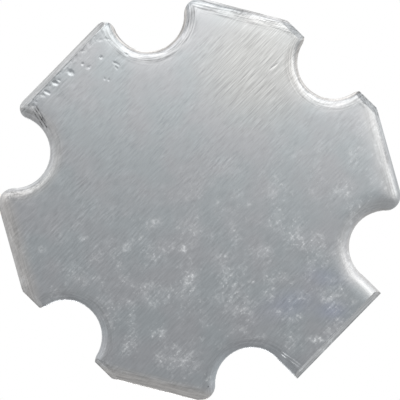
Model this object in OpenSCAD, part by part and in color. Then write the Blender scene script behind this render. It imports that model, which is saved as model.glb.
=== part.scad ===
// Power LED on a six notch star board, with its aluminium back on z = 0 and its lens up the z axis.
// The x axis runs through the two scored corners and the y axis through the two scored flats.
// Lengths are in millimetres.

/* [Star plate] */
// Width across opposite flats
flat_w = 20; // [19.5:0.1:24]
// Set back of the two scored corners from the reach of the flats
score_trim = 0.3; // [0.1:0.05:0.6]
// Thickness of the aluminium core
plate_t = 1.5; // [1.2:0.1:2.4]
// Set back of the notch centres from the reach of the flats
notch_in = 0.2; // [0:0.05:0.4]
// Diameter of the screw notches
notch_d = 3.7; // [3.4:0.1:3.9]
// Radius of the lips where a notch meets a punched flat
lip_r = 0.8; // [0.6:0.05:1]
// Radius of the lips where a notch meets the lipped scored flat
scored_lip_r = 0.55; // [0.55:0.05:0.8]
// Radius of the rolled edge that the punch leaves on the back
roll_r = 0.45; // [0.2:0.05:0.45]
// Depth of the scored grooves that part one board from the next
score_depth = 0.55; // [0.3:0.05:0.6]
// Full angle of the scored grooves
score_angle = 60; // [40:5:70]

/* [Laminate] */
// Thickness of the insulating film
dielectric_t = 0.1; // [0.06:0.01:0.2]
// Thickness of the copper foil
copper_t = 0.07; // [0.035:0.005:0.105]
// Thickness of the mask over the foil
mask_t = 0.03; // [0.02:0.005:0.05]
// Dip of the mask where it spans bare film
mask_dip = 0.04; // [0.02:0.005:0.05]
// Reach of the mask at full height past the edge of the foil
mask_cover = 0.1; // [0.05:0.01:0.15]
// Bare margin between the board edge and the foil
copper_margin = 0.45; // [0.4:0.05:0.5]
// Gap between neighbouring foils
copper_gap = 0.6; // [0.4:0.1:1]

/* [Lands] */
// Width of a wire land along the board edge
wire_pad_w = 2.6; // [1.8:0.1:3.2]
// Length of a wire land along the board radius
wire_pad_l = 1.3; // [0.9:0.1:1.4]
// Corner radius of the lands
pad_corner_r = 0.3; // [0.1:0.05:0.4]
// Mask between the edge of the foil and a wire land
pad_margin = 0.2; // [0.1:0.05:0.3]
// Thickness of the tin on the wire lands
tin_t = 0.05; // [0.04:0.01:0.08]
// Thickness of the solder under slug and leads
solder_t = 0.06; // [0.04:0.01:0.12]
// Bare foil around the foot of a lead
land_margin = 0.3; // [0.2:0.05:0.4]
// Reach of the land behind the heel of a lead
heel_margin = 0.6; // [0.4:0.05:0.8]
// Height of the solder bank beside a lead, over the foil
bank_h = 0.24; // [0.16:0.02:0.26]
// Height of the solder bank at the rim of its land
bank_rim = 0.04; // [0.02:0.01:0.06]
// Foil of the thermal land around the slug
thermal_margin = 0.3; // [0.2:0.05:0.4]
// Mask opening around the slug
opening_margin = 0.15; // [0.1:0.05:0.2]

/* [Emitter] */
// Diameter of the moulded housing
body_d = 7.9; // [7.6:0.1:8.2]
// Height of the housing top over the slug foot
body_h = 2.9; // [2.7:0.1:3.2]
// Clearance under the housing
body_gap = 0.15; // [0.1:0.05:0.25]
// Chamfer around the housing top
body_chamfer = 0.25; // [0.1:0.05:0.4]
// Diameter of the slug foot
slug_d = 5.6; // [5:0.1:5.8]
// Height of the slug foot
slug_foot_h = 0.8; // [0.6:0.1:1]
// Diameter of the slug neck
neck_d = 3.8; // [3.4:0.1:3.9]
// Height of the rim of the reflector cup over the cavity floor
rim_h = 0.25; // [0.15:0.05:0.3]
// Diameter of the reflector cup at its rim
cup_d = 2.8; // [2.4:0.1:2.9]
// Diameter of the reflector cup at its floor
cup_floor_d = 1.9; // [1.7:0.1:2]
// Depth of the reflector cup
cup_depth = 0.45; // [0.35:0.05:0.5]
// Diameter of the cavity in the housing
cavity_d = 5.2; // [5:0.1:5.4]
// Depth of the cavity below the housing top
cavity_depth = 1.15; // [1:0.05:1.3]

/* [Leads] */
// Run of a lead from the side of the housing to the heel of its foot
lead_reach = 1.4; // [1.35:0.05:1.6]
// Mask between the land of a lead and the wire land beyond it
land_gap = 0.5; // [0.3:0.05:0.7]
// Width of a lead
lead_w = 1.3; // [1:0.1:1.6]
// Thickness of a lead
lead_t = 0.25; // [0.2:0.05:0.3]
// Inner radius of the lead bends
bend_r = 0.25; // [0.15:0.05:0.3]
// Angle of the slanted part of the lead
lead_slant = 70; // [60:5:80]
// Gap between slug neck and lead tip inside the cavity
lead_tip_gap = 0.1; // [0.05:0.05:0.2]
// Distance of a wire foot from the inner tip of its lead
post_inset = 0.25; // [0.15:0.05:0.3]

/* [Lens] */
// Outer radius of the dome
dome_r = 2.75; // [2.6:0.05:2.85]
// Wall of the dome
dome_wall = 0.45; // [0.4:0.05:0.5]
// Diameter of the lens flange
flange_d = 6.4; // [6.1:0.1:6.7]
// Thickness of the lens flange
flange_t = 0.5; // [0.4:0.05:0.6]

/* [Chip and wires] */
// Edge of the square chip
die_w = 1; // [0.8:0.05:1.1]
// Thickness of the chip
die_t = 0.15; // [0.1:0.01:0.2]
// Thickness of the adhesive under the chip
attach_t = 0.02; // [0.01:0.005:0.03]
// Diameter of the gold wires
wire_d = 0.05; // [0.03:0.005:0.06]
// Distance of a wire foot from the edge of the chip
bond_inset = 0.2; // [0.15:0.05:0.25]
// Straight height of a wire over the cavity floor before it arches
wire_rise = 0.05; // [0.04:0.01:0.1]

/* [Hidden] */
$fn = 96;
// reach of a cutter past the solid it cuts
over = 1;
// depth by which a rounded lip crosses the edge and the notch beside it
lip_bite = 0.004;
// depth by which the side of a straight run crosses the notch it leaves
run_bite = 0.02;
// run of a rolled edge past the back face
sink = 0.01;
// steps in the quarter round of a rolled edge, in a land's corner, in a lead's bend and in a solder bank
roll_steps = 5;
corner_steps = 6;
bend_steps = 6;
bank_steps = 5;
// directions of the notches and of the punched flats
notch_dirs = [0, 60, 120, 180, 240, 300];
punched_dirs = [30, 150, 210, 330];
// directions of the scored flats: one has lips, and the notches beside the other run straight out to it
lipped_dir = 270;
straight_dir = 90;
scored_dirs = [straight_dir, lipped_dir];
// half the angle between neighbouring notches
half_pitch = 30;
flat_r = flat_w / 2;
chop_r = flat_r - score_trim;
notch_r = notch_d / 2;
run_r = notch_r - run_bite;
notch_c = flat_r - notch_in;
score_in = score_depth * tan(score_angle / 2);
copper_z = plate_t + dielectric_t;
copper_top = copper_z + copper_t;
board_top = copper_top + mask_t;
// wire lands end this far from the board centre
pad_outer = flat_r - max(copper_margin, score_in) - pad_margin;
pad_mid = pad_outer - wire_pad_l / 2;
// emitter foot and the heights over it
foot_z = copper_top + solder_t;
body_top = foot_z + body_h;
floor_z = body_top - cavity_depth;
rim_z = floor_z + rim_h;
cup_z = rim_z - cup_depth;
die_top = cup_z + attach_t + die_t;
ledge_z = body_top - flange_t;
dome_in_r = dome_r - dome_wall;
body_z = foot_z + body_gap;
// lead: inner tip, outer end, drop, bends along its middle line, and where its straight runs end
lead_in = neck_d / 2 + lead_tip_gap;
land_out = pad_outer - wire_pad_l - land_gap;
lead_out = land_out - land_margin;
lead_drop = floor_z - lead_t - foot_z;
bend_mid = bend_r + lead_t / 2;
slant_l = (lead_drop - 2 * bend_mid * (1 - cos(lead_slant))) / sin(lead_slant);
heel = body_d / 2 + lead_reach;
shoulder = heel - 2 * bend_mid * sin(lead_slant) - slant_l * cos(lead_slant);
// solder land of a lead
land_w = lead_w + 2 * land_margin;
land_in = heel - heel_margin;
land_l = land_out - land_in;
land_mid = (land_in + land_out) / 2;
thermal_d = slug_d + 2 * thermal_margin;
// arch of a gold wire between chip and lead
bond_y = die_w / 2 - bond_inset;
post_y = lead_in + post_inset;
arch_r = (post_y - bond_y) / 2;
arch_z = max(floor_z, die_top) + wire_rise;

// a point of a flat's frame, turned into the frame of the board
function turned(a, out, along) = [out * cos(a) - along * sin(a), out * sin(a) + along * cos(a)];

// radius of the lips on a flat
function lip_radius(a) = a == straight_dir ? 0 : a == lipped_dir ? scored_lip_r : lip_r;

// lip centre in the frame of its flat: out along the flat's normal, and along the flat
function lip_out(a) = flat_r - lip_radius(a) + lip_bite;
function lip_along(a) =
  let (reach = notch_r + lip_radius(a) - lip_bite, rise = lip_out(a) - notch_c * cos(half_pitch))
  notch_c * sin(half_pitch) - sqrt(reach * reach - rise * rise);

// set back and height of the rolled edge, from the wall to just below the back face
function roll() =
  let (
    arc = [
      for (i = [0 : roll_steps])
        let (a = 90 * i / roll_steps)
        [roll_r * (1 - cos(a)), roll_r * (1 - sin(a))]
    ],
    last = arc[roll_steps] - arc[roll_steps - 1]
  )
  concat(arc, [arc[roll_steps] - last * sink / last[1]]);

// points of a rectangle with rounded corners, centred
function rounded(w, l, r) = [
  for (q = [0 : 3], i = [0 : corner_steps])
    let (sx = (q == 0 || q == 3) ? 1 : -1, sy = q < 2 ? 1 : -1, a = 90 * (q + i / corner_steps))
    [sx * (w / 2 - r) + r * cos(a), sy * (l / 2 - r) + r * sin(a)]
];

// points along a bend
function bend(c, r, a0, a1) = [
  for (i = [0 : bend_steps])
    let (a = a0 + (a1 - a0) * i / bend_steps)
    [c[0] + r * cos(a), c[1] + r * sin(a)]
];

// the star without its lips: the flats between the lips, and straight runs to the notch centres
module core_2d() {
  polygon([
    for (n = notch_dirs)
      let (a = n + half_pitch, out = lip_out(a), along = lip_along(a))
      each [
        turned(n, notch_c, 0),
        turned(a, out, -along),
        turned(a, flat_r + over, -along),
        turned(a, flat_r + over, along),
        turned(a, out, along)
      ]
  ]);
}

// places its children at the lips of some flats
module at_lips(dirs) {
  for (a = dirs, s = [-1, 1])
    translate(turned(a, lip_out(a), s * lip_along(a)))
      children();
}

// places its children at the six notches
module at_notches() {
  for (a = notch_dirs)
    rotate(a)
      translate([notch_c, 0])
        children();
}

// places its children at the two notches that run straight out to a scored flat
module at_runs() {
  for (s = [-1, 1])
    rotate(straight_dir - 90)
      translate([s * notch_c * sin(half_pitch), notch_c * cos(half_pitch)])
        children();
}

// outline of the star, drawn in by a margin
module star_2d(inset) {
  difference() {
    intersection() {
      circle(r = (flat_r - inset) / cos(half_pitch), $fn = 6);
      union() {
        core_2d();
        at_lips(punched_dirs)
          circle(r = lip_r - inset);
        at_lips([lipped_dir])
          circle(r = scored_lip_r - inset);
      }
      square([2 * (chop_r - inset), 2 * flat_w], center = true);
    }
    at_notches()
      circle(r = notch_r + inset);
    at_runs()
      translate([-run_r - inset, 0])
        square([2 * (run_r + inset), flat_w]);
  }
}

// plate between two opposite punched flats, its back edges rolled over
module rolled_slab() {
  side = [for (i = [0 : roll_steps]) [flat_r - roll()[i][0], roll()[i][1]]];
  rotate([90, 0, 0])
    linear_extrude(2 * flat_w, center = true)
      polygon(concat(
        [[flat_r, plate_t]],
        side,
        [for (i = [roll_steps : -1 : 0]) [-side[i][0], side[i][1]]],
        [[-flat_r, plate_t]]
      ));
}

// round post or cutter that the rolled edge narrows (grow -1) or flares (grow 1) at the back
module rolled_round(r, grow) {
  rotate_extrude()
    polygon(concat(
      [[0, plate_t + over], [r, plate_t + over]],
      [for (p = roll()) [r + grow * p[0], p[1]]],
      [[0, -sink]]
    ));
}

// cutter of a notch's straight run along y, flared at the back by the rolled edge
module rolled_run() {
  side = [for (p = roll()) [run_r + p[0], p[1]]];
  n = len(side);
  rotate([90, 0, 0])
    translate([0, 0, -flat_w])
      linear_extrude(flat_w)
        polygon(concat(
          [[run_r, plate_t + over]],
          side,
          [for (i = [n - 1 : -1 : 0]) [-side[i][0], side[i][1]]],
          [[-run_r, plate_t + over]]
        ));
}

// wedges that the scoring takes off both faces at one straight side
module score_wedges(r) {
  run = tan(score_angle / 2);
  wedge = [
    [r - score_in - over * run, -over],
    [r + over * run, score_depth + over],
    [r + 2 * over, score_depth + over],
    [r + 2 * over, -over]
  ];
  rotate([90, 0, 0])
    linear_extrude(2 * flat_w, center = true) {
      polygon(wedge);
      translate([0, board_top])
        mirror([0, 1])
          polygon(wedge);
    }
}

// all scoring: two corners and two flats
module scoring() {
  for (a = scored_dirs) {
    rotate(a - 90)
      score_wedges(chop_r);
    rotate(a)
      score_wedges(flat_r);
  }
}

// aluminium core, punched from the front so that its back edges roll over
module aluminium_base() {
  color("#a9adb0")
    difference() {
      intersection() {
        translate([-chop_r, -flat_r, 0])
          cube([2 * chop_r, flat_w, plate_t]);
        rotate(half_pitch)
          rolled_slab();
        rotate(-half_pitch)
          rolled_slab();
        union() {
          translate([0, 0, -over])
            linear_extrude(plate_t + 2 * over)
              core_2d();
          at_lips(punched_dirs)
            rolled_round(lip_r, -1);
          at_lips([lipped_dir])
            rolled_round(scored_lip_r, -1);
        }
      }
      at_notches()
        rolled_round(notch_r, 1);
      at_runs()
        rolled_run();
      scoring();
    }
}

// insulating film under the foil
module dielectric_layer() {
  color("#c9c2a8")
    difference() {
      translate([0, 0, plate_t])
        linear_extrude(dielectric_t)
          star_2d(0);
      scoring();
    }
}

// half of the foil on the +y side, cleared around the thermal land and grown by a cover
module half_foil_2d(grow) {
  difference() {
    intersection() {
      star_2d(copper_margin - grow);
      translate([-flat_w, copper_gap / 2 - grow])
        square([2 * flat_w, flat_w]);
    }
    circle(d = thermal_d + 2 * (copper_gap - grow));
  }
}

// foil of the anode half
module anode_copper() {
  color("#c27c4e")
    translate([0, 0, copper_z])
      linear_extrude(copper_t)
        half_foil_2d(0);
}

// foil of the cathode half
module cathode_copper() {
  color("#c27c4e")
    rotate(180)
      translate([0, 0, copper_z])
        linear_extrude(copper_t)
          half_foil_2d(0);
}

// round land under the slug
module thermal_copper() {
  color("#c27c4e")
    translate([0, 0, copper_z])
      cylinder(d = thermal_d, h = copper_t);
}

// lands for wires on the three flats of the +y half
module wire_lands_2d() {
  for (turn = [-2 * half_pitch, 0, 2 * half_pitch])
    rotate(turn)
      translate([0, pad_mid])
        polygon(rounded(wire_pad_w, wire_pad_l, pad_corner_r));
}

// land for the lead of the +y half
module lead_land_2d() {
  translate([0, land_mid])
    polygon(rounded(land_w, land_l, pad_corner_r));
}

// bare film between and around the foils, where the mask lies lower
module mask_dip_2d() {
  difference() {
    circle(r = flat_w);
    for (a = [0, 180])
      rotate(a)
        half_foil_2d(mask_cover);
    circle(d = thermal_d + 2 * mask_cover);
  }
}

// white mask: it lies on foil and film and leaves the lands open
module solder_mask() {
  color("#f4f4f0")
    difference() {
      translate([0, 0, copper_z])
        linear_extrude(copper_t + mask_t)
          star_2d(0);
      scoring();
      translate([0, 0, board_top - mask_dip])
        linear_extrude(over)
          mask_dip_2d();
      for (a = [0, 180])
        rotate(a)
          translate([0, 0, copper_z - over])
            linear_extrude(over + copper_t)
              half_foil_2d(0);
      translate([0, 0, copper_z - over])
        cylinder(d = thermal_d, h = over + copper_t);
      for (a = [0, 180])
        rotate(a)
          translate([0, 0, copper_z + copper_t / 2])
            linear_extrude(over) {
              wire_lands_2d();
              lead_land_2d();
            }
      translate([0, 0, copper_z + copper_t / 2])
        cylinder(d = slug_d + 2 * opening_margin, h = over);
    }
}

// tin on the wire lands of the +y half
module wire_pads() {
  color("#d3d6d6")
    translate([0, 0, copper_top])
      linear_extrude(tin_t)
        wire_lands_2d();
}

// tinned wire lands of the anode half
module anode_wire_pads() {
  wire_pads();
}

// tinned wire lands of the cathode half
module cathode_wire_pads() {
  rotate(180)
    wire_pads();
}

// solder between thermal land and slug
module slug_solder() {
  color("#b8bcbe")
    translate([0, 0, copper_top])
      cylinder(d = slug_d, h = solder_t);
}

// half of a solder bank's section: a concave slope from the rim of the land up to the lead
function bank(rim, foot) = [
  for (i = [0 : bank_steps])
    let (u = i / bank_steps)
    [rim + (foot - rim) * u, bank_rim + (bank_h - bank_rim) * u * u]
];

// section of a solder bank between two rims, with a lead's foot between them
module bank_2d(rim0, foot0, foot1, rim1) {
  right = bank(rim1, foot1);
  polygon(concat(
    [[rim0, 0]],
    bank(rim0, foot0),
    [for (i = [bank_steps : -1 : 0]) right[i]],
    [[rim1, 0]]
  ));
}

// solder around the foot of the +y lead, as the lead presses into it
module lead_solder() {
  color("#c4c8ca")
    difference() {
      intersection() {
        translate([0, 0, copper_top])
          linear_extrude(bank_h)
            lead_land_2d();
        translate([0, land_mid, copper_top])
          rotate([90, 0, 0])
            linear_extrude(2 * land_l, center = true)
              bank_2d(-land_w / 2, -lead_w / 2, lead_w / 2, land_w / 2);
        translate([0, 0, copper_top])
          rotate([90, 0, 90])
            linear_extrude(2 * land_w, center = true)
              bank_2d(land_in, heel - bend_mid, lead_out, land_out);
      }
      lead();
    }
}

// solder joint of the anode lead
module anode_solder() {
  lead_solder();
}

// solder joint of the cathode lead
module cathode_solder() {
  rotate(180)
    lead_solder();
}

// upper (1) or lower (-1) edge of the +y lead in side view, from its tip in the cavity to its foot
function lead_side(s) =
  let (
    top = floor_z - lead_t / 2 + s * lead_t / 2,
    low = foot_z + lead_t / 2 + s * lead_t / 2,
    upper = [shoulder, floor_z - lead_t / 2 - bend_mid],
    lower = [heel, foot_z + lead_t / 2 + bend_mid]
  )
  concat(
    [[lead_in, top]],
    bend(upper, bend_mid + s * lead_t / 2, 90, 90 - lead_slant),
    bend(lower, bend_mid - s * lead_t / 2, 270 - lead_slant, 270),
    [[lead_out, low]]
  );

// gull wing lead on the +y side
module lead() {
  upper = lead_side(1);
  lower = lead_side(-1);
  n = len(lower);
  rotate([90, 0, 90])
    linear_extrude(lead_w, center = true)
      polygon(concat(upper, [for (i = [n - 1 : -1 : 0]) lower[i]]));
}

// anode lead
module anode_lead() {
  color("#d0d2d2")
    lead();
}

// cathode lead
module cathode_lead() {
  color("#d0d2d2")
    rotate(180)
      lead();
}

// plated copper slug: foot, neck and reflector cup
module heat_slug() {
  color("#cfccc4")
    rotate_extrude()
      polygon([
        [0, foot_z], [slug_d / 2, foot_z], [slug_d / 2, foot_z + slug_foot_h],
        [neck_d / 2, foot_z + slug_foot_h], [neck_d / 2, rim_z], [cup_d / 2, rim_z],
        [cup_floor_d / 2, cup_z], [0, cup_z]
      ]);
}

// moulded housing around slug and leads
module package_body() {
  color("#f2efe6")
    difference() {
      rotate_extrude()
        polygon([
          [neck_d / 2, foot_z + slug_foot_h], [slug_d / 2, foot_z + slug_foot_h],
          [slug_d / 2, body_z], [body_d / 2, body_z],
          [body_d / 2, body_top - body_chamfer], [body_d / 2 - body_chamfer, body_top],
          [flange_d / 2, body_top], [flange_d / 2, ledge_z], [cavity_d / 2, ledge_z],
          [cavity_d / 2, floor_z], [neck_d / 2, floor_z]
        ]);
      lead();
      rotate(180)
        lead();
    }
}

// adhesive film under the chip
module die_attach() {
  color("#8f8f90")
    translate([-die_w / 2, -die_w / 2, cup_z])
      cube([die_w, die_w, attach_t]);
}

// light emitting chip
module led_die() {
  color("#9fb4c8")
    translate([-die_w / 2, -die_w / 2, cup_z + attach_t])
      cube([die_w, die_w, die_t]);
}

// gold wire on the +y side: two straight legs and an arch
module bond_wire() {
  translate([0, bond_y, die_top])
    cylinder(d = wire_d, h = arch_z - die_top);
  translate([0, post_y, floor_z])
    cylinder(d = wire_d, h = arch_z - floor_z);
  translate([0, bond_y + arch_r, arch_z])
    rotate([90, 0, 90])
      rotate_extrude(angle = 180)
        translate([arch_r, 0])
          circle(d = wire_d);
}

// gold wire to the anode lead
module anode_bond_wire() {
  color("#d8b24a")
    bond_wire();
}

// gold wire to the cathode lead
module cathode_bond_wire() {
  color("#d8b24a")
    rotate(180)
      bond_wire();
}

// both gold wires, as the space they take up in the fillings
module wire_space() {
  bond_wire();
  rotate(180)
    bond_wire();
}

// phosphor that fills the reflector cup over the chip
module phosphor_fill() {
  color("#e6c32e")
    difference() {
      rotate_extrude()
        polygon([
          [0, cup_z], [cup_floor_d / 2, cup_z], [cup_d / 2, rim_z], [0, rim_z]
        ]);
      translate([-die_w / 2, -die_w / 2, cup_z - over])
        cube([die_w, die_w, over + attach_t + die_t]);
      wire_space();
    }
}

// clear silicone between cavity floor, slug rim and lens
module silicone_fill() {
  color("#e8f0f2")
    difference() {
      union() {
        translate([0, 0, floor_z])
          cylinder(d = cavity_d, h = ledge_z - floor_z);
        translate([0, 0, ledge_z])
          cylinder(r = dome_in_r, h = body_top - ledge_z);
        intersection() {
          translate([0, 0, body_top])
            sphere(r = dome_in_r);
          translate([-dome_in_r, -dome_in_r, body_top])
            cube(2 * dome_in_r);
        }
      }
      translate([0, 0, floor_z - over])
        cylinder(d = neck_d, h = rim_z - floor_z + over);
      wire_space();
    }
}

// clear dome with the flange that sits in the housing
module lens() {
  color("#eef4f6")
    rotate_extrude()
      difference() {
        union() {
          translate([0, ledge_z])
            square([flange_d / 2, flange_t]);
          intersection() {
            translate([0, body_top])
              circle(r = dome_r);
            translate([0, body_top])
              square(2 * dome_r);
          }
        }
        translate([-over, ledge_z - over])
          square([over + dome_in_r, flange_t + over]);
        translate([0, body_top])
          circle(r = dome_in_r);
        translate([-2 * dome_r, 0])
          square([2 * dome_r, 4 * body_top]);
      }
}

aluminium_base();
dielectric_layer();
anode_copper();
cathode_copper();
thermal_copper();
solder_mask();
anode_wire_pads();
cathode_wire_pads();
slug_solder();
anode_solder();
cathode_solder();
heat_slug();
package_body();
anode_lead();
cathode_lead();
die_attach();
led_die();
anode_bond_wire();
cathode_bond_wire();
phosphor_fill();
silicone_fill();
lens();
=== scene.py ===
"""Looks of a power LED on a six notch star board, seen from its bare aluminium back."""
import logging
import math
from dataclasses import dataclass, field
from enum import Enum
from typing import Any, Iterable, Sequence

import bmesh
import bpy
from mathutils import Matrix, Vector, geometry, noise


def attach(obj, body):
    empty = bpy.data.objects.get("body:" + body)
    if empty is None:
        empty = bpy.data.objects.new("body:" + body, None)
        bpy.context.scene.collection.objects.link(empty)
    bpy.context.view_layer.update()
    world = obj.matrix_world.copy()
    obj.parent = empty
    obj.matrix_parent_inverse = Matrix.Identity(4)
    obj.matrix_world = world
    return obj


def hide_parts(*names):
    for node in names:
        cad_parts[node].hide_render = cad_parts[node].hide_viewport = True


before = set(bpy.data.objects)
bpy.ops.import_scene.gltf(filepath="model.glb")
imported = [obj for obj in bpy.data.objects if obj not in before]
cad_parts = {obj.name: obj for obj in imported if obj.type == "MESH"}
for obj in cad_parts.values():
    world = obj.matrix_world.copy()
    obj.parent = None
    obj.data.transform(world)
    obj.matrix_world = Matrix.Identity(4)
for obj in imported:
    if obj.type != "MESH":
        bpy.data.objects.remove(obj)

# Short names for Blender's types.
Shape, Face, Edge, Vert = bmesh.types.BMesh, bmesh.types.BMFace, bmesh.types.BMEdge, bmesh.types.BMVert
Tree, Node, Socket, Piece = bpy.types.NodeTree, bpy.types.Node, bpy.types.NodeSocket, bpy.types.Object
Span = tuple[float, float]

LOG = logging.getLogger("star_board")
MM = 0.001
WELD_MM = 0.0005
FLAT_DEGREES = 0.4
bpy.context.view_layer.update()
AXES = (Vector((1, 0, 0)), Vector((0, 1, 0)), Vector((0, 0, 1)))
# Directions of the photograph in the frame of the board: right and up in the picture.
PICTURE_RIGHT = Vector((0.6990, 0.7151, 0.0))
PICTURE_UP = Vector((0.7151, -0.6990, 0.0))


class Polarity(Enum):
    """The two halves of the circuit."""

    ANODE = "anode"
    CATHODE = "cathode"

    @property
    def turns(self) -> tuple[float, float]:
        """Directions in degrees of the lands that carry a sign."""
        return (30.0, 150.0) if self is Polarity.ANODE else (210.0, 330.0)


def to_linear(code: str) -> tuple[float, float, float, float]:
    """Turns an sRGB hex colour into linear light.

    Args:
        code: Colour as six hex digits after a hash.

    Returns:
        Linear red, green, blue and an alpha of 1.
    """
    parts = [int(code[i:i + 2], 16) / 255 for i in (1, 3, 5)]
    red, green, blue = (p / 12.92 if p <= 0.04045 else ((p + 0.055) / 1.055) ** 2.4 for p in parts)
    return red, green, blue, 1.0


def add_node(tree: Tree, kind: str, inputs: dict[Any, Any] | None = None, **settings: Any) -> Node:
    """Adds a node with its settings, and sets or links its inputs.

    Args:
        tree: Node tree that gets the node.
        kind: Blender's name of the node type.
        inputs: Input names or numbers, each with a value or a socket to link from.
        **settings: Properties of the node.

    Returns:
        The new node.
    """
    node = tree.nodes.new(kind)
    for key, value in settings.items():
        setattr(node, key, value)
    for key, value in (inputs or {}).items():
        if isinstance(value, Socket):
            tree.links.new(value, node.inputs[key])
        else:
            node.inputs[key].default_value = value
    return node


def per_metre(size_mm: float) -> float:
    """Gives how often a length in millimetres fits into a metre, as the scale of a texture."""
    return 1 / (size_mm * MM)


@dataclass(frozen=True)
class Weave:
    """Short ways to add the usual nodes to one tree; each gives the socket that comes out."""

    tree: Tree

    def place(self) -> Socket:
        """Gives the point in the piece's own coordinates."""
        return add_node(self.tree, "ShaderNodeTexCoord").outputs["Object"]

    def attribute(self, name: str) -> Socket:
        """Gives a value that the piece stores at its vertices."""
        return add_node(self.tree, "ShaderNodeAttribute", attribute_name=name).outputs["Fac"]

    def stretch(self, place: Socket, *sizes_mm: float) -> Socket:
        """Scales a point so that one unit spans a given length along each axis."""
        scale = tuple(per_metre(size) for size in sizes_mm)
        return add_node(self.tree, "ShaderNodeMapping", {"Vector": place, "Scale": scale}).outputs["Vector"]

    def noise(
        self, place: Socket, detail: float, rough: float = 0.6, scale: float = 1.0, bend: float = 0.0
    ) -> Socket:
        """Gives a noise with its detail, roughness, scale and distortion."""
        inputs = {"Vector": place, "Scale": scale, "Detail": detail, "Roughness": rough, "Distortion": bend}
        return add_node(self.tree, "ShaderNodeTexNoise", inputs).outputs["Fac"]

    def remap(
        self, value: Socket, span: Span = (0.0, 1.0), out: Span = (0.0, 1.0), **settings: Any
    ) -> Socket:
        """Maps one span of values to another and clamps it."""
        ends = {"From Min": span[0], "From Max": span[1], "To Min": out[0], "To Max": out[1]}
        return add_node(self.tree, "ShaderNodeMapRange", {"Value": value, **ends}, **settings).outputs["Result"]

    def maths(self, operation: str, *values: Any, clamp: bool = False) -> Socket:
        """Works out one operation on sockets or numbers."""
        settings = {"operation": operation, "use_clamp": clamp}
        return add_node(self.tree, "ShaderNodeMath", dict(enumerate(values)), **settings).outputs["Value"]

    def add_product(self, value: Socket, factor: Any, base: Any, clamp: bool = False) -> Socket:
        """Adds a value times a factor to a base."""
        return self.maths("MULTIPLY_ADD", value, factor, base, clamp=clamp)

    def mix(self, share: Socket, first: Any, second: Any) -> Socket:
        """Mixes two colours."""
        inputs = {0: share, 6: first, 7: second}
        return add_node(self.tree, "ShaderNodeMix", inputs, data_type="RGBA").outputs[2]

    def shade(self, colour: Any, tone: Socket) -> Socket:
        """Makes a colour lighter or darker."""
        inputs = {0: colour, "Scale": tone}
        return add_node(self.tree, "ShaderNodeVectorMath", inputs, operation="SCALE").outputs["Vector"]

    def bump(self, height: Socket, strength: Any, depth_mm: float, under: Socket | None = None) -> Socket:
        """Gives the normal of a fine relief.

        Args:
            height: Height of the relief, from 0 to 1.
            strength: Number or socket by which the relief counts.
            depth_mm: Depth of the relief in millimetres.
            under: Normal of another relief below it.

        Returns:
            The normal.
        """
        inputs = {"Height": height, "Strength": strength, "Distance": depth_mm * MM}
        if under is not None:
            inputs["Normal"] = under
        return add_node(self.tree, "ShaderNodeBump", inputs).outputs["Normal"]

    def wire(self, shader: Node, sockets: dict[str, Socket]) -> None:
        """Links sockets to a shader's inputs."""
        for name, socket in sockets.items():
            self.tree.links.new(socket, shader.inputs[name])


def smooth_step(low: float, high: float, value: float) -> float:
    """Eases from 0 at low to 1 at high.

    Args:
        low: Value at which the result leaves 0.
        high: Value at which the result reaches 1.
        value: Place between them.

    Returns:
        A number from 0 to 1.
    """
    share = min(1.0, max(0.0, (value - low) / (high - low)))
    return share * share * (3 - 2 * share)


def merged_copy(node: str) -> Shape:
    """Copies a CAD node's mesh, joins its loose triangles and clears the lines inside flat faces.

    Args:
        node: Name of the CAD node.

    Returns:
        A new bmesh.
    """
    shape = bmesh.new()
    shape.from_mesh(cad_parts[node].data)
    bmesh.ops.remove_doubles(shape, verts=shape.verts, dist=WELD_MM * MM)
    bmesh.ops.dissolve_limit(
        shape, angle_limit=math.radians(FLAT_DEGREES), verts=shape.verts, edges=shape.edges)
    return shape


def slice_faces(shape: Shape, faces: Iterable[Face], axis: Vector, places: Sequence[float]) -> list[Face]:
    """Cuts some faces by parallel planes, nearest plane first.

    Args:
        shape: Mesh that owns the faces.
        faces: Faces to cut.
        axis: Normal of the planes.
        places: Distances of the planes along the axis in millimetres, rising.

    Returns:
        All the faces that the cuts leave.
    """
    done: list[Face] = []
    rest = list(faces)
    for place in (spot * MM for spot in places):
        rims = list({edge for face in rest for edge in face.edges})
        dots = list({vert for face in rest for vert in face.verts})
        cut = bmesh.ops.bisect_plane(
            shape, geom=rest + rims + dots, dist=1e-9, plane_co=axis * place, plane_no=axis
        )
        parts = [item for item in cut["geom"] if isinstance(item, Face)]
        rest = [face for face in parts if face.calc_center_median().dot(axis) > place]
        done += [face for face in parts if face.calc_center_median().dot(axis) <= place]
    return done + rest


def is_sharp(edge: Edge, degrees: float) -> bool:
    """Tells whether two faces meet at an edge at more than an angle."""
    return len(edge.link_faces) == 2 and edge.calc_face_angle(0) > math.radians(degrees)


def mark_creases(shape: Shape, degrees: float) -> None:
    """Shades a mesh smooth and keeps a crease where two faces meet at more than an angle.

    Args:
        shape: Mesh to mark.
        degrees: Smallest angle of a crease.
    """
    for edge in shape.edges:
        edge.smooth = not is_sharp(edge, degrees)
    for face in shape.faces:
        face.smooth = True


def round_edges(shape: Shape, edges: list[Edge], radius: float) -> None:
    """Rounds some edges of a mesh by a radius in millimetres."""
    how = {"offset_type": "OFFSET", "affect": "EDGES", "segments": 3, "profile": 0.5, "material": -1}
    bmesh.ops.bevel(shape, geom=edges, offset=radius * MM, clamp_overlap=True, **how)


def steps(low: float, high: float, pitch: float) -> list[float]:
    """Lists places from low to high, both included, at about a pitch."""
    count = max(1, round((high - low) / pitch))
    return [low + (high - low) * i / count for i in range(count + 1)]


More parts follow.
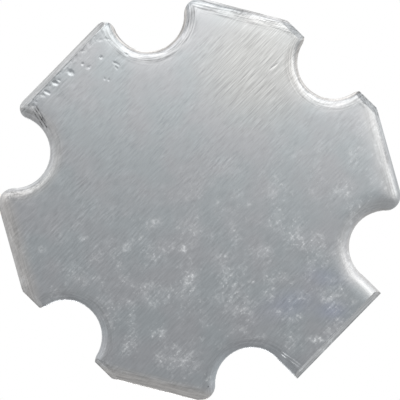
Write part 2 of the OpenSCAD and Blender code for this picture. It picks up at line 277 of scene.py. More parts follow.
@dataclass(frozen=True)
class Finish:
    """A real material: its name, its main colour and how its surface was made."""

    name: str
    colour: str
    roughness: float
    metallic: float = 0.0
    grain_mm: float = 0.3
    grain_depth_mm: float = 0.004
    grain_shade: float = 0.06

    def material(self) -> bpy.types.Material:
        """Makes the finish's material, once.

        Returns:
            The material.
        """
        found = bpy.data.materials.get(self.name)
        if found:
            return found
        made = bpy.data.materials.new(self.name)
        made.use_nodes = True
        tree = made.node_tree
        shader = tree.nodes["Principled BSDF"]
        shader.inputs["Base Color"].default_value = to_linear(self.colour)
        shader.inputs["Roughness"].default_value = self.roughness
        shader.inputs["Metallic"].default_value = self.metallic
        self.pattern(tree, shader)
        return made

    def pattern(self, tree: Tree, shader: Node) -> None:
        """Adds an even grain: small changes of tone and gloss and a fine bump.

        Args:
            tree: Node tree of the material.
            shader: Its principled shader.
        """
        weave = Weave(tree)
        grain = weave.noise(weave.place(), 4.0, scale=per_metre(self.grain_mm))
        tone = weave.remap(grain, out=(1 - self.grain_shade, 1 + self.grain_shade))
        weave.wire(shader, {
            "Base Color": weave.shade(to_linear(self.colour)[:3], tone),
            "Roughness": weave.remap(grain, out=(self.roughness * 0.85, min(1.0, self.roughness * 1.15))),
            "Normal": weave.bump(grain, 0.5, self.grain_depth_mm)})


@dataclass(frozen=True)
class BrushedAluminium(Finish):
    """Mill finish sheet, brushed along x: cool grey, with oxide bloom and drag lines on rolled edges."""

    oxide_colour: str = "#DFE1E2"
    # Colour of the painted highlight on the rolled edges and scored slopes.
    rim_highlight_colour: str = "#BDBAB7"
    tinge_colour: str = "#A6A8AB"
    tarnish_colour: str = "#989FB4"
    fresh_colour: str = "#A7A8A8"
    brush_pitch_mm: float = 0.09
    brush_length_mm: float = 0.65
    brush_depth_mm: float = 0.002
    scratch_pitch_mm: float = 0.034
    scratch_length_mm: float = 1.4
    layer_mm: float = 0.5
    grit_mm: float = 0.17
    cloud_mm: float = 1.5
    crumb_mm: float = 0.3
    slow_mm: float = 2.5
    drag_pitch_mm: float = 0.07
    drag_length_mm: float = 1.2
    drag_depth_mm: float = 0.006
    shear_pitch_mm: float = 0.07
    shear_length_mm: float = 1.2
    shear_depth_mm: float = 0.0045
    wall_mm: Span = (0.4, 0.55)
    torn_mm: Span = (1.15, 1.19)
    torn_wave_mm: float = 0.4
    gloss_swing: float = 0.04

    def pattern(self, tree: Tree, shader: Node) -> None:
        """Adds brush lines, mottling, oxide marks, specks, the drag lines of the punch, a painted highlight on
        the rolled edges and darkening that is part dirt and part painted shade.

        Args:
            tree: Node tree of the material.
            shader: Its principled shader.
        """
        weave = Weave(tree)
        place = weave.place()
        # Real brush lines are a few hundredths of a millimetre apart; drawn coarser, so that they show.
        brush_at = weave.stretch(place, self.brush_length_mm, self.brush_pitch_mm, self.layer_mm)
        lines = weave.noise(brush_at, 4.0, 0.7, bend=0.2)
        # Crisp scratches along the same way, in the worn corner and along the scored edges.
        cuts_at = weave.stretch(place, self.scratch_length_mm, self.scratch_pitch_mm, self.layer_mm)
        cuts = weave.noise(cuts_at, 1.0, 0.5)
        # Lines at one distance from the rim follow the rolled edges, as the punch drags along them.
        along = weave.stretch(place, self.drag_length_mm, self.drag_length_mm, math.inf)
        drag_at = add_node(tree, "ShaderNodeVectorMath", {
            0: weave.attribute("inset"), 1: (0.0, 0.0, 1 / self.drag_pitch_mm), 2: along},
            operation="MULTIPLY_ADD")
        drag = weave.noise(drag_at.outputs["Vector"], 3.0)
        # The sheared walls have upright streaks.
        shear = weave.noise(
            weave.stretch(place, self.shear_pitch_mm, self.shear_pitch_mm, self.shear_length_mm), 3.0)
        clouds = weave.noise(place, 5.0, 0.62, per_metre(self.cloud_mm))
        crumbs = weave.noise(place, 3.0, scale=per_metre(self.crumb_mm))
        grit = weave.noise(place, 3.0, scale=per_metre(self.grit_mm))
        slow = weave.noise(place, 2.0, 0.5, per_metre(self.slow_mm))
        names = ("weather", "oxide", "rim", "worn", "streaky", "grime", "tarnish")
        weather, oxide, rim, worn, streaky, grime, tarnish = (weave.attribute(name) for name in names)
        # Oxide: crumbs where the clouds are thick, a thin bloom under them, and marks with broken borders.
        cloud = weave.remap(clouds, (0.5, 0.68), (0.0, 0.52))
        speck = weave.maths("MULTIPLY", weave.remap(crumbs, (0.48, 0.74)), cloud)
        spread = weave.maths("MULTIPLY", weave.add_product(cloud, 0.22, speck), weather)
        patch = weave.add_product(oxide, weave.remap(grit, (0.44, 0.62), (0.2, 1.15)), spread)
        dot, swarm = weave.remap(grit, (0.56, 0.69), (0.0, 0.48)), weave.remap(clouds, (0.46, 0.6))
        white = weave.add_product(weave.maths("MULTIPLY", dot, swarm), weather, patch, clamp=True)
        # The metal's two greys, and over them fresh metal, tarnish, a warm painted highlight on the rolled
        # edges and scored slopes, and the oxide.
        metal = weave.mix(weave.remap(slow, (0.4, 0.6)), to_linear(self.colour), to_linear(self.tinge_colour))
        for share, code in ((worn, self.fresh_colour), (tarnish, self.tarnish_colour),
                            (rim, self.rim_highlight_colour), (white, self.oxide_colour)):
            metal = weave.mix(share, metal, to_linear(code))
        # The brushing bites more in some places than in others, and most where the metal is least weathered.
        bite = weave.remap(clouds, (0.35, 0.65), (0.2, 0.9))
        keen = weave.remap(weather, out=(1.05, 0.75))
        tone = weave.add_product(
            weave.maths("SUBTRACT", lines, 0.5), weave.maths("MULTIPLY", bite, keen), 1.0)
        tone = weave.add_product(weave.remap(drag, (0.36, 0.64), (-0.8, 0.4)), streaky, tone)
        tone = weave.add_product(weave.remap(cuts, (0.3, 0.72), (-0.22, 0.34)), worn, tone)
        # The sheared wall is burnished below, and torn and duller above.
        height = add_node(tree, "ShaderNodeSeparateXYZ", {0: place}).outputs["Z"]
        wall = weave.remap(height, (self.wall_mm[0] * MM, self.wall_mm[1] * MM))
        jagged = weave.add_product(crumbs, self.torn_wave_mm * MM, height)
        torn = weave.remap(jagged, (self.torn_mm[0] * MM, self.torn_mm[1] * MM), (-0.12, -0.32))
        streaks = weave.remap(shear, (0.35, 0.65), (-0.1, 0.08))
        tone = weave.add_product(weave.maths("ADD", torn, streaks), wall, tone)
        # Speckled darkening, part dirt and part painted shade, in sheared corners, in scratches, along some
        # edges and along the score lines.
        tone = weave.add_product(grime, weave.remap(grit, (0.4, 0.62), (-0.14, -0.44)), tone)
        gloss = weave.remap(
            lines, (0.3, 0.7), (self.roughness - self.gloss_swing, self.roughness + self.gloss_swing))
        brushed = weave.bump(lines, 0.5, self.brush_depth_mm)
        dragged = weave.bump(drag, streaky, self.drag_depth_mm, brushed)
        weave.wire(shader, {
            "Base Color": weave.shade(metal, tone),
            "Roughness": weave.add_product(white, 0.2, weave.add_product(wall, 0.14, gloss), clamp=True),
            "Normal": weave.bump(shear, wall, self.shear_depth_mm, dragged)})


@dataclass(frozen=True)
class ClearMoulding(Finish):
    """Clear moulded silicone: glassy, with a faint waviness."""

    refraction: float = 1.46

    def pattern(self, tree: Tree, shader: Node) -> None:
        """Makes the moulding see-through and gives it the faint waves of its mould.

        Args:
            tree: Node tree of the material.
            shader: Its principled shader.
        """
        shader.inputs["Transmission Weight"].default_value = 1.0
        shader.inputs["IOR"].default_value = self.refraction
        weave = Weave(tree)
        waves = weave.noise(weave.place(), 2.0, 0.5, per_metre(self.grain_mm))
        weave.wire(shader, {
            "Roughness": weave.remap(waves, out=(self.roughness * 0.6, self.roughness * 1.4)),
            "Normal": weave.bump(waves, 0.3, self.grain_depth_mm)})


@dataclass(frozen=True)
class PaleFloor(Finish):
    """Matt pale board that shows from above only, so that it never hides the back, and fades out far away."""

    near_mm: float = 30.0
    far_mm: float = 110.0

    def pattern(self, tree: Tree, shader: Node) -> None:
        """Mixes the board with nothing at all on its lower side and far from the object.

        Args:
            tree: Node tree of the material.
            shader: Its principled shader.
        """
        weave = Weave(tree)
        below = add_node(tree, "ShaderNodeNewGeometry").outputs["Backfacing"]
        away = add_node(tree, "ShaderNodeVectorMath", {0: weave.place()}, operation="LENGTH").outputs["Value"]
        fade = weave.remap(away, (self.near_mm * MM, self.far_mm * MM), interpolation_type="SMOOTHSTEP")
        clear = add_node(tree, "ShaderNodeBsdfTransparent")
        mixed = add_node(tree, "ShaderNodeMixShader", {
            0: weave.maths("MAXIMUM", below, fade), 1: shader.outputs["BSDF"], 2: clear.outputs["BSDF"]})
        weave.wire(tree.nodes["Material Output"], {"Surface": mixed.outputs["Shader"]})


# Rolled aluminium sheet, brushed: cool grey with directional lines, whitish oxide and a warm painted highlight
# on the rolled edges.
ALUMINIUM = BrushedAluminium("brushed_aluminium", "#A3A8AB", 0.42, 1.0)
# Filled epoxy film: a dull straw line along the board edge.
DIELECTRIC = Finish("filled_epoxy_film", "#C9C2A8", 0.6, grain_mm=0.08, grain_shade=0.1)
# Rolled copper foil under the mask.
COPPER = Finish("copper_foil", "#B87A52", 0.35, 1.0, grain_mm=0.12)
# White photo imaged mask: satin, with the faint orange peel of a printed film.
MASK = Finish("white_solder_mask", "#E9E9E4", 0.34, grain_mm=0.35, grain_depth_mm=0.006, grain_shade=0.025)
# Hot air levelled tin: bright, softly rippled.
TIN = Finish("levelled_tin", "#C6C9CA", 0.22, 1.0, grain_mm=0.5, grain_depth_mm=0.02, grain_shade=0.05)
# Reflowed solder: bright grey, a little frosted.
SOLDER = Finish(
    "reflowed_solder", "#BFC3C5", 0.28, 1.0, grain_mm=0.22, grain_depth_mm=0.012, grain_shade=0.07)
# Silver plate on copper strip: pale and slightly warm, with fine rolling grain.
SILVER = Finish("silver_plate", "#D2D0CA", 0.26, 1.0, grain_mm=0.15, grain_depth_mm=0.004, grain_shade=0.05)
# Glass filled white plastic: matt, eggshell white.
HOUSING = Finish(
    "moulded_white_plastic", "#E6E3DA", 0.45, grain_mm=0.18, grain_depth_mm=0.006, grain_shade=0.03)
# Silver filled adhesive.
ATTACH = Finish("silver_filled_adhesive", "#8F8F90", 0.55, grain_mm=0.06, grain_shade=0.12)
# Polished crystal.
CRYSTAL = Finish("polished_crystal", "#8FA6BD", 0.15, grain_mm=0.2, grain_shade=0.05)
# Drawn gold wire.
GOLD = Finish("drawn_gold", "#D9B255", 0.2, 1.0, grain_mm=0.05, grain_depth_mm=0.001)
# Phosphor in gel: deep matt yellow, slightly grainy.
PHOSPHOR = Finish("phosphor_gel", "#E3BC2C", 0.5, grain_mm=0.1, grain_depth_mm=0.008, grain_shade=0.1)
# Clear moulded lens.
CLEAR = ClearMoulding("clear_silicone", "#FFFFFF", 0.03, grain_mm=2.0, grain_depth_mm=0.004)
# Printed marking ink: matt black, slightly patchy.
INK = Finish("marking_ink", "#2B2C2E", 0.6, grain_mm=0.12, grain_depth_mm=0.004, grain_shade=0.18)
# Matt pale board under the object.
FLOOR = PaleFloor("pale_board", "#F3F3F1", 0.9)


def stand(name: str, data: bpy.types.ID) -> Piece:
    """Puts a new object with its data into the scene.

    Args:
        name: Name of the object.
        data: Mesh, lamp or camera.

    Returns:
        The object.
    """
    thing = bpy.data.objects.new(name, data)
    bpy.context.scene.collection.objects.link(thing)
    return thing


def make_mesh(name: str, shape: Shape, finish: Finish) -> bpy.types.Mesh:
    """Turns a bmesh into a mesh with a finish.

    Args:
        name: Name of the mesh.
        shape: The bmesh, which is freed.
        finish: Its material.

    Returns:
        The mesh.
    """
    mesh = bpy.data.meshes.new(name)
    shape.to_mesh(mesh)
    shape.free()
    mesh.materials.append(finish.material())
    return mesh


def add_piece(
    name: str, shape: Shape, finish: Finish, replaces: Sequence[str] = ()
) -> Piece:
    """Makes a piece of the object from a finished bmesh.

    Args:
        name: Name of the piece.
        shape: Mesh, which is freed.
        finish: Its material.
        replaces: CAD nodes that the piece stands for.

    Returns:
        The piece, which rides on the one body.
    """
    piece = stand(name, make_mesh(name, shape, finish))
    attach(piece, "root")
    if replaces:
        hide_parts(*replaces)
    LOG.info("%s: %d faces", name, len(piece.data.polygons))
    return piece


def dress(node: str, finish: Finish) -> None:
    """Gives a CAD node its finish.

    Args:
        node: Name of the CAD node.
        finish: Its material.
    """
    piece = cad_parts[node]
    piece.data.materials.clear()
    piece.data.materials.append(finish.material())
    LOG.info("%s: %s", node, finish.name)


@dataclass(frozen=True)
class PunchedEdge:
    """A punched flat or notch of the star.

    It has a direction, a depth to which the back is drawn down, and shares of drag lines, painted highlight,
    and darkening that is part dirt and part painted shade.
    A notch may run straight out along the y axis, and an edge may get a painted highlight right at its rim.
    """

    turn: float
    notch: bool
    drawn: float
    streaky: float = 0.15
    # Share of the painted highlight on the rolled edge.
    painted_sheen: float = 0.6
    # Share of darkening along the edge: painted shade, with some dirt.
    grime: float = 0.0
    flat_r: float = 10.0
    notch_c: float = 9.8
    notch_r: float = 1.85
    reach: float = 1.15
    run: bool = False
    # Share of a painted highlight right at the rim.
    painted_glint: float = 0.0

    def inside(self, x: float, y: float) -> float:
        """Gives how far a point of the back lies inside the edge.

        Args:
            x: Place along x in millimetres.
            y: Place along y in millimetres.

        Returns:
            Distance in millimetres, less than 0 outside.
        """
        aim_x, aim_y = math.cos(math.radians(self.turn)), math.sin(math.radians(self.turn))
        if self.notch:
            below = y - self.notch_c * aim_y
            return math.hypot(x - self.notch_c * aim_x, min(0.0, below) if self.run else below) - self.notch_r
        return self.flat_r - x * aim_x - y * aim_y

    def drop(self, x: float, y: float) -> float:
        """Gives how far the back is drawn down at a point, in millimetres."""
        return self.drawn * max(0.0, 1 - self.inside(x, y) / self.reach) ** 2


@dataclass(frozen=True)
class Oval:
    """An oval place on the back: its centre, half length, half width and turn."""

    x: float
    y: float
    long: float
    wide: float
    turn: float

    def spread(self, x: float, y: float) -> float:
        """Gives how far a point lies from the centre.

        Args:
            x: Place along x in millimetres.
            y: Place along y in millimetres.

        Returns:
            Square of the distance, 1 on the oval itself.
        """
        turn = math.radians(self.turn)
        along = ((x - self.x) * math.cos(turn) + (y - self.y) * math.sin(turn)) / self.long
        across = ((y - self.y) * math.cos(turn) - (x - self.x) * math.sin(turn)) / self.wide
        return along * along + across * across


@dataclass(frozen=True)
class Dent(Oval):
    """An oval pit with its depth."""

    deep: float
    bowl: float = 1.4

    def depth_at(self, x: float, y: float) -> float:
        """Gives the pit's depth at a point in millimetres, 0 outside it."""
        spread = self.spread(x, y)
        return self.deep * (1 - spread) ** self.bowl if spread < 1 else 0.0


@dataclass(frozen=True)
class Bloom(Oval):
    """A soft patch of oxide, tarnish or dirt with its strength."""

    strength: float
    fade: float = 1.6

    def cover_at(self, x: float, y: float) -> float:
        """Gives how much the patch covers a point, from 0 to its strength."""
        return self.strength * math.exp(-self.fade * self.spread(x, y))


@dataclass(frozen=True)
class Scratch:
    """A straight scratch in the back: its two ends, half width, depth and how much it darkens the metal."""

    x: float
    y: float
    end_x: float
    end_y: float
    wide: float
    deep: float
    dark: float = 0.0
    taper: float = 0.15

    def depth_at(self, x: float, y: float) -> float:
        """Gives the scratch's depth at a point, 0 outside it.

        Args:
            x: Place along x in millimetres.
            y: Place along y in millimetres.

        Returns:
            Depth in millimetres.
        """
        run_x, run_y = self.end_x - self.x, self.end_y - self.y
        length = math.hypot(run_x, run_y)
        along = ((x - self.x) * run_x + (y - self.y) * run_y) / length
        across = abs((x - self.x) * run_y - (y - self.y) * run_x) / length / self.wide
        if across >= 1 or not 0 < along < length:
            return 0.0
        ends = smooth_step(0, self.taper, along) * smooth_step(0, self.taper, length - along)
        skip = 0.6 + 0.8 * noise.noise(Vector((along * 4.0, self.x, self.y)))
        return self.deep * (1 - across) * ends * max(0.0, skip)


@dataclass
class StarPlate:
    """The punched and scored aluminium core with its dents, oxide and torn score lines."""

    # Outline of the solid: flats, chopped tips, rolled edge, scored wedges, webs and lips.
    flat_r: float = 10.0
    chop_r: float = 9.7
    roll_r: float = 0.45
    groove: float = 0.4
    web_low: float = 0.55
    web_high: float = 1.15
    run_x: float = 2.9
    lip: Span = (9.204, 2.349)
    scored_lip: Span = (9.454, 2.703)
    # Net that the back is cut into, finer over the dented flat and finest over two scratches.
    net_end: float = 9.98
    net_half: float = 9.6
    net_top: float = 9.9
    tab_y: float = -7.4
    tab_half: float = 3.4
    coarse: float = 0.12
    fine: float = 0.04
    hair: float = 0.031
    hair_columns: Span = (-2.8, -2.33)
    hair_rows: Span = (-2.23, -1.93)
    merge: float = 0.006
    # Blunted corners, creases and eased lips.
    blunt: float = 0.1
    blunt_angle: float = 60.0
    crease: float = 32.0
    lip_reach: float = 0.45
    lip_z: float = 0.3
    lip_passes: int = 3
    # Scored slopes and torn webs.
    score_line: float = 0.03
    score_rows: Span = (0.04, 0.52)
    score_pitch: float = 0.048
    tear: float = 0.06
    web_rim: float = 0.06
    web_half: float = 3.3
    web_pitch: float = 0.1
    web_rise: float = 0.07
    # Relief of the back.
    face_z: float = 0.15
    dent_gain: float = 1.35
    grit: float = 0.008
    grit_y: Span = (-9.2, -9.5)
    sag: float = 0.003
    sag_inset: Span = (0.6, 2.5)
    # Where the marks begin and end.
    stain_z: float = 0.2
    weather_down: Span = (-4.0, 5.0)
    painted_glint_inset: Span = (0.22, 0.08)
    streak_inset: Span = (0.85, 0.5)
    grime_inset: Span = (0.7, 0.2)
    slope_y: Span = (-9.66, -9.72)
    worn_spot: Span = (6.9, -2.6)
    worn_reach: Span = (4.2, 1.0)
    # Painted shadow lines beside the score burr along the dented flat: distance from the centre, half width and
    # strength.
    score_shadow_lines: tuple[tuple[float, float, float], ...] = ((9.63, 0.06, 1.0), (9.77, 0.05, 0.7))
    edges: list[PunchedEdge] = field(default_factory=list)
    dents: list[Dent] = field(default_factory=list)
    blooms: list[Bloom] = field(default_factory=list)
    stains: list[Bloom] = field(default_factory=list)
    dirt_and_shade_patches: list[Bloom] = field(default_factory=list)
    scratches: list[Scratch] = field(default_factory=list)

    def build(self) -> Piece:
        """Models the plate on a copy of its solid.

        Returns:
            The piece that stands for the solid.
        """
        shape = merged_copy("aluminium_base")
        self.blunt_corners(shape)
        mark_creases(shape, self.crease)
        self.cut_back(shape)
        self.score_lines(shape)
        self.tear_webs(shape)
        bmesh.ops.remove_doubles(shape, verts=shape.verts, dist=self.merge * MM)
        self.press_dents(shape)
        self.ease_lips(shape)
        mark_creases(shape, self.crease)
        self.weather(shape)
        return add_piece("star_plate", shape, ALUMINIUM, ["aluminium_base"])

    def blunt_corners(self, shape: Shape) -> None:
        """Blunts the two corners where a notch runs straight out to a scored flat.

        Args:
            shape: Mesh of the plate.
        """
        low = self.flat_r - self.groove
        sharp = [
            e for e in shape.edges
            if is_sharp(e, self.blunt_angle) and abs(e.verts[0].co.z - e.verts[1].co.z) > 0.02 * MM
            and all(abs(v.co.x) > self.run_x * MM and v.co.y > low * MM for v in e.verts)
        ]
        round_edges(shape, sharp, self.blunt)

    def cut_back(self, shape: Shape) -> None:
        """Cuts the back and its rolled edges into a net, finer over the dented flat and the scratches.

        Args:
            shape: Mesh of the plate.
        """
        back = [f for f in shape.faces if f.normal.z < -0.05 and f.calc_center_median().z < self.roll_r * MM]
        halves = slice_faces(shape, back, AXES[1], [self.tab_y])
        tab = [f for f in halves if f.calc_center_median().y < self.tab_y * MM]
        rest = [f for f in halves if f.calc_center_median().y > self.tab_y * MM]
        tab = slice_faces(shape, tab, AXES[0], steps(-self.tab_half, self.tab_half, self.fine))
        slice_faces(shape, tab, AXES[1], steps(-self.net_end, self.tab_y - 0.03, self.fine))
        columns = steps(-self.net_half, self.net_half, self.coarse) + steps(*self.hair_columns, self.hair)
        rows = steps(self.tab_y + 0.05, self.net_top, self.coarse) + steps(*self.hair_rows, self.hair)
        slice_faces(shape, slice_faces(shape, rest, AXES[0], sorted(columns)), AXES[1], sorted(rows))

    @staticmethod
    def steep(normal: Vector) -> bool:
        """Tells whether a face is as steep as a scored slope."""
        return abs(abs(normal.z) - 0.5) < 0.02

    @staticmethod
    def square(normal: Vector) -> bool:
        """Tells whether a face looks along x or along y."""
        return max(abs(normal.x), abs(normal.y)) > 0.85

    def score_lines(self, shape: Shape) -> None:
        """Cuts the scored slopes into strips and sinks them unevenly, as a scoring wheel leaves them.

        Args:
            shape: Mesh of the plate.
        """
        slopes = [
            f for f in shape.faces
            if self.steep(f.normal) and self.square(f.normal)
            and (abs(f.calc_center_median().y) > (self.flat_r - self.groove) * MM
                 or abs(f.calc_center_median().x) > (self.chop_r - self.groove) * MM)
        ]
        slice_faces(shape, slopes, AXES[2], steps(*self.score_rows, self.score_pitch))
        for vert in shape.verts:
            height = vert.co.z / MM
            on_slope = [f.normal for f in vert.link_faces if self.steep(f.normal)]
            if 0.02 < height < 0.53 and len(on_slope) > 1 and self.square(on_slope[0]):
                wave = noise.noise(Vector((vert.co.x / MM * 0.3, vert.co.y / MM * 0.3, height * 9.0)))
                vert.co -= on_slope[0] * (wave * 0.5 + 0.5) * self.score_line * MM

    def tear_webs(self, shape: Shape) -> None:
        """Roughens the webs between the scored grooves, where one board was snapped off the next.

        Args:
            shape: Mesh of the plate.
        """
        for axis, along, reach in ((1, 0, self.flat_r), (0, 1, self.chop_r)):
            webs = [
                f for f in shape.faces
                if abs(f.normal[axis]) > 0.99 and abs(f.calc_center_median()[axis]) > (reach - 0.05) * MM
            ]
            cut = slice_faces(shape, webs, AXES[along], steps(-self.web_half, self.web_half, self.web_pitch))
            levels = steps(self.web_low + self.web_rim, self.web_high - self.web_rim, self.web_rise)
            slice_faces(shape, cut, AXES[2], levels)
            for vert in shape.verts:
                height = vert.co.z / MM
                inner = self.web_low + 0.01 < height < self.web_high - 0.01
                if inner and abs(vert.co[axis]) > (reach - 0.02) * MM:
                    grain = noise.fractal(vert.co / MM * 3.1, 0.9, 2.0, 4) * 0.5 + 0.5
                    side = 1 if vert.co[axis] > 0 else -1
                    vert.co[axis] -= side * max(0.0, grain) * self.tear * MM

    def press_dents(self, shape: Shape) -> None:
        """Draws the back down towards its punched edges and presses dents, scratches and grit into it.

        Args:
            shape: Mesh of the plate.
        """
        for vert in shape.verts:
            height = vert.co.z / MM
            if height > self.roll_r:
                continue
            x, y = vert.co.x / MM, vert.co.y / MM
            deep = max(edge.drop(x, y) for edge in self.edges) * (1 - height / self.roll_r)
            if height < self.face_z:
                wobble = 1 + 0.7 * noise.noise(Vector((x * 11.0, y * 11.0, 1.0)))
                deep += self.dent_gain * wobble * sum(dent.depth_at(x, y) for dent in self.dents)
                deep += sum(scratch.depth_at(x, y) for scratch in self.scratches)
                crumbs = max(0.0, noise.noise(Vector((x * 8.0, y * 8.0, 3.0))))
                deep += self.grit * (smooth_step(*self.grit_y, y) * crumbs)
                calm = smooth_step(*self.sag_inset, min(edge.inside(x, y) for edge in self.edges))
                deep += self.sag * calm * (1 + noise.noise(Vector((x * 0.35, y * 0.35, 2.0))))
            vert.co.z += deep * MM

    def ease_lips(self, shape: Shape) -> None:
        """Smooths the back round the lips, where the rolled edges of a flat and of a notch run together.

        Args:
            shape: Mesh of the plate.
        """
        spots = [(turn, side, *self.lip) for turn in (30, 150, 210, 330) for side in (-1, 1)]
        spots += [(270, side, *self.scored_lip) for side in (-1, 1)]
        near: set[Vert] = set()
        for turn, side, out, along in spots:
            spot = Matrix.Rotation(math.radians(turn), 3, "Z") @ Vector((out, side * along, 0))
            near |= {
                v for v in shape.verts
                if v.co.z < self.lip_z * MM and (v.co.to_2d() / MM - spot.to_2d()).length < self.lip_reach}
        for _ in range(self.lip_passes):
            bmesh.ops.smooth_vert(shape, verts=list(near), factor=0.5, use_axis_z=True)

    def weather(self, shape: Shape) -> None:
        """Stores where oxide, wear, dirt with painted shade, and the painted highlight of the rim lie, for the
        finish to read.

        Args:
            shape: Mesh of the plate.
        """
        names = ("oxide", "weather", "rim", "worn", "inset", "streaky", "grime", "tarnish")
        layers = {name: shape.verts.layers.float.new(name) for name in names}
        for vert in shape.verts:
            for name, value in self.marks_at(*(vert.co / MM)).items():
                vert[layers[name]] = value

    def marks_at(self, x: float, y: float, z: float) -> dict[str, float]:
        """Gives how strong each mark is at a point.

        Args:
            x: Place along x in millimetres.
            y: Place along y in millimetres.
            z: Height above the back in millimetres.

        Returns:
            Strength of each mark, and the distance from the nearest edge as inset.
        """
        down = -(x * PICTURE_UP.x + y * PICTURE_UP.y)
        right = x * PICTURE_RIGHT.x + y * PICTURE_RIGHT.y
        near = [(edge, edge.inside(x, y)) for edge in self.edges]
        # Painted highlight in a warm colour: paler along the rolled edges, brightest right at some rims, and on
        # the far chopped tip and the scored slope of the dented flat.
        painted_sheen = max(edge.painted_sheen * smooth_step(0.78 * edge.reach, 0.3, inside) for edge, inside in near)
        painted_glint = max(edge.painted_glint * smooth_step(*self.painted_glint_inset, inside) for edge, inside in near)
        chop = 0.5 * smooth_step(0.24 - self.chop_r, 0.2 - self.chop_r, x)
        slope = 0.2 * smooth_step(*self.slope_y, y)
        scored = 0.8 * smooth_step(self.flat_r - 0.35, self.flat_r - 0.28, abs(y))
        corner = smooth_step(*self.worn_reach, math.hypot(x - self.worn_spot[0], y - self.worn_spot[1]))
        marks = {
            "weather": smooth_step(*self.weather_down, down + 0.35 * right),
            "inset": min(inside for _, inside in near),
            "rim": max(painted_sheen, painted_glint, chop, slope),
            "streaky": max(edge.streaky * smooth_step(*self.streak_inset, inside) for edge, inside in near),
            "worn": max(scored, corner),
            # Darkening, part dirt and part painted shade.
            "grime": self.darkening_at(x, y, near) * smooth_step(self.web_high, self.web_low, z),
        }
        if z < self.stain_z:
            marks["oxide"] = min(1.0, sum(bloom.cover_at(x, y) for bloom in self.blooms))
            marks["tarnish"] = min(1.0, sum(stain.cover_at(x, y) for stain in self.stains))
        return marks

    def darkening_at(self, x: float, y: float, near: list[tuple[PunchedEdge, float]]) -> float:
        """Gives how dark a point is made, by dirt and by painted shade.

        Args:
            x: Place along x in millimetres.
            y: Place along y in millimetres.
            near: Each edge with the distance of the point from it.

        Returns:
            The strongest of the kinds of darkening.
        """
        # Darkening along some edges, part painted shade and part dirt.
        edging = max(edge.grime * smooth_step(*self.grime_inset, inside) for edge, inside in near)
        # Painted shade on the chopped tips at positive x, stronger on the positive y side.
        corner = (0.95 if y > 0 else 0.4) * smooth_step(self.chop_r - 0.34, self.chop_r - 0.28, x)
        uneven = 1 + 0.8 * noise.noise(Vector((x * 2.2, y * 2.2, 7.0)))
        # Dark patches, part dirt and part painted shade.
        patch_darkening = uneven * sum(patch.cover_at(x, y) for patch in self.dirt_and_shade_patches)
        # Painted shadow lines beside the score burr.
        line = sum(share * math.exp(-((y + out) / wide) ** 2) for out, wide, share in self.score_shadow_lines)
        line *= 0.7 + noise.noise(Vector((x * 5.0, y * 9.0, 4.0)))
        # Darker in the scratches.
        groove = max(scratch.dark * scratch.depth_at(x, y) / scratch.deep for scratch in self.scratches)
        return max(edging, corner, patch_darkening, line, groove)


@dataclass
class Laminate:
    """Film, foil, mask, tinned wire lands and the polarity marks on the front of the board."""

    tin_crown: float = 0.05
    tin_net: float = 0.11
    tin_half: float = 9.3
    tin_shoulder: float = 0.16
    tin_crease: float = 50.0
    mark_r: float = 6.75
    mark_size: float = 0.9
    mark_bar: float = 0.2
    mark_low: float = 1.70
    mark_thick: float = 0.015

    def build(self) -> list[Piece]:
        """Dresses the layers and adds the crowned tin and the marks.

        Returns:
            The new pieces.
        """
        dress("dielectric_layer", DIELECTRIC)
        for foil in ("anode_copper", "cathode_copper", "thermal_copper"):
            dress(foil, COPPER)
        dress("solder_mask", MASK)
        return [make(side) for side in Polarity for make in (self.tin, self.marks)]

    def tin(self, side: Polarity) -> Piece:
        """Crowns the tin on one half's wire lands.

        Args:
            side: The half.

        Returns:
            The tinned lands as one piece.
        """
        shape = merged_copy(f"{side.value}_wire_pads")
        tops = [f for f in shape.faces if f.normal.z > 0.99]
        borders = [(e.verts[0].co.copy(), e.verts[1].co.copy()) for f in tops for e in f.edges]
        places = steps(-self.tin_half, self.tin_half, self.tin_net)
        net = slice_faces(shape, slice_faces(shape, tops, AXES[0], places), AXES[1], places)
        for vert in {v for f in net for v in f.verts}:
            inset = min((vert.co - self.nearest(vert.co, *border)).length for border in borders) / MM
            wave = 1 + 0.3 * noise.noise(vert.co / MM * 1.3)
            vert.co.z += self.tin_crown * wave * (1 - math.exp(-inset / self.tin_shoulder)) * MM
        mark_creases(shape, self.tin_crease)
        return add_piece(f"{side.value}_tin", shape, TIN, [f"{side.value}_wire_pads"])

    @staticmethod
    def nearest(point: Vector, start: Vector, end: Vector) -> Vector:
        """Gives the point of a straight edge that lies nearest to a point."""
        spot, share = geometry.intersect_point_line(point, start, end)
        return start if share < 0 else end if share > 1 else spot

    def marks(self, side: Polarity) -> Piece:
        """Prints a plus or a minus beside some wire lands of one half.

        Args:
            side: The half.

        Returns:
            The signs as one piece.
        """
        upright = side is Polarity.ANODE
        shape = bmesh.new()
        for turn in side.turns:
            made = bmesh.ops.create_grid(shape, x_segments=3, y_segments=3, size=self.mark_size / 2 * MM)
            for vert in made["verts"]:
                for axis in (0, 1):
                    if abs(vert.co[axis]) < self.mark_size / 3 * MM:
                        vert.co[axis] = math.copysign(self.mark_bar / 2 * MM, vert.co[axis])
            drop = [
                f for f in {f for v in made["verts"] for f in v.link_faces}
                if abs(f.calc_center_median().y) > self.mark_bar / 2 * MM
                and (not upright or abs(f.calc_center_median().x) > self.mark_bar / 2 * MM)
            ]
            bmesh.ops.delete(shape, geom=drop, context="FACES")
            kept = [v for v in made["verts"] if v.is_valid]
            angle = math.radians(turn)
            place = Vector((self.mark_r * math.cos(angle), self.mark_r * math.sin(angle), self.mark_low)) * MM
            bmesh.ops.transform(shape, matrix=Matrix.Translation(place), verts=kept)
        raised = bmesh.ops.extrude_face_region(shape, geom=shape.faces[:])
        lifted = [item for item in raised["geom"] if isinstance(item, Vert)]
        bmesh.ops.translate(shape, verts=lifted, vec=(0, 0, self.mark_thick * MM))
        bmesh.ops.recalc_face_normals(shape, faces=shape.faces)
        return add_piece(f"{side.value}_signs", shape, INK)


